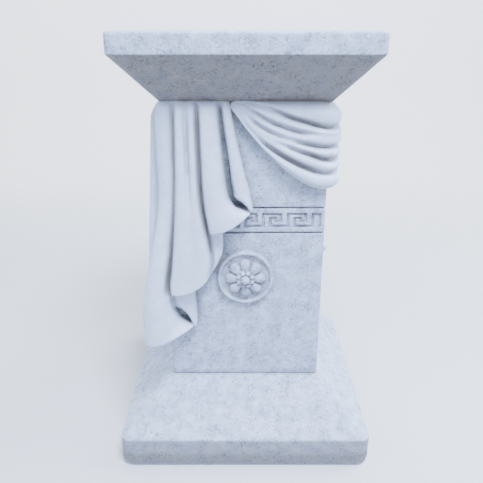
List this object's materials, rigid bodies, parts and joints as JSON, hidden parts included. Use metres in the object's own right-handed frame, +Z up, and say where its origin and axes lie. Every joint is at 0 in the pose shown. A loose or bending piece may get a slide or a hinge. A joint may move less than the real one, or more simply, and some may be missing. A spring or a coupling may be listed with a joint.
{
  "type": "decorative pedestal",
  "caption": "Square garden pedestal in white cast stone with a flared cap, a sloping plinth, carved drapery, a key-pattern band and a rosette medallion on each face.",
  "frame": {"origin": "on the ground under the centre of the shaft", "axes": "+Z up, the front face with the tail of cloth on its left looks along -Y, +X to the right of the front"},
  "size_m": [0.367, 0.367, 0.605],
  "materials": {
    "cast_stone": "matt bluish white cast stone, sandblasted on the flat faces and smooth on the cloth"
  },
  "bodies": {
    "root": {"pedestal": "cast_stone"}
  },
  "joints": []
}
